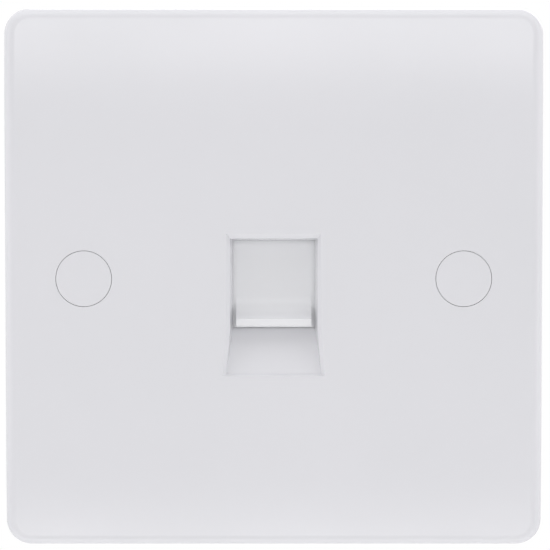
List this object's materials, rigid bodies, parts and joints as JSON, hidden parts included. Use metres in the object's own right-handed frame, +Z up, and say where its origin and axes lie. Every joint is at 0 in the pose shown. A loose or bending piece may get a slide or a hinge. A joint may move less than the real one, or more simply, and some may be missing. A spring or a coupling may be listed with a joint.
{
  "type": "ethernet wall socket",
  "caption": "Square white wall plate with a shuttered modular data jack behind a sloped window, screw caps, and a rear board with wire terminals.",
  "frame": {"origin": "in the wall's plane, midway between the two fixing screws", "axes": "+Y into the wall along the fixing screws, +X right and +Z up as seen from the room"},
  "size_m": [0.0856, 0.0317, 0.0856],
  "materials": {
    "plate_plastic": "smooth white urea moulding, soft gloss",
    "shutter_plastic": "smooth white moulding",
    "frame_plastic": "white moulding, plain inside finish",
    "jack_plastic": "black moulding",
    "comb_plastic": "grey moulding",
    "terminal_plastic": "white moulding",
    "board_laminate": "green lacquered glass laminate",
    "contact_metal": "gold-plated bronze wire",
    "blade_metal": "tinned bronze",
    "spring_steel": "drawn spring wire",
    "screw_steel": "zinc-plated steel"
  },
  "bodies": {
    "socket": {"faceplate": "plate_plastic", "screw_cap_left": "plate_plastic", "screw_cap_right": "plate_plastic", "fixing_screws": "screw_steel", "shutter_spring_left": "spring_steel", "shutter_spring_right": "spring_steel", "guide_frame": "frame_plastic", "frame_screws": "screw_steel", "jack_housing": "jack_plastic", "contact_insert": "comb_plastic", "circuit_board": "board_laminate", "idc_block_left": "terminal_plastic", "idc_block_right": "terminal_plastic", "board_screws": "screw_steel", "contact_1": "contact_metal", "idc_blade_1": "blade_metal", "contact_2": "contact_metal", "idc_blade_2": "blade_metal", "contact_3": "contact_metal", "idc_blade_3": "blade_metal", "contact_4": "contact_metal", "idc_blade_4": "blade_metal", "contact_5": "contact_metal", "idc_blade_5": "blade_metal", "contact_6": "contact_metal", "idc_blade_6": "blade_metal", "contact_7": "contact_metal", "idc_blade_7": "blade_metal", "contact_8": "contact_metal", "idc_blade_8": "blade_metal"},
    "shutter": {"shutter": "shutter_plastic"}
  },
  "joints": [
    {"name": "shutter_slide", "type": "slide", "parent": "socket", "child": "shutter", "axis": [0, 0, 1], "range_m": [0, 0.0098], "stiffness_N_per_m": 40, "springref_m": -0.008, "deforming": ["shutter_spring_left", "shutter_spring_right"]}
  ]
}
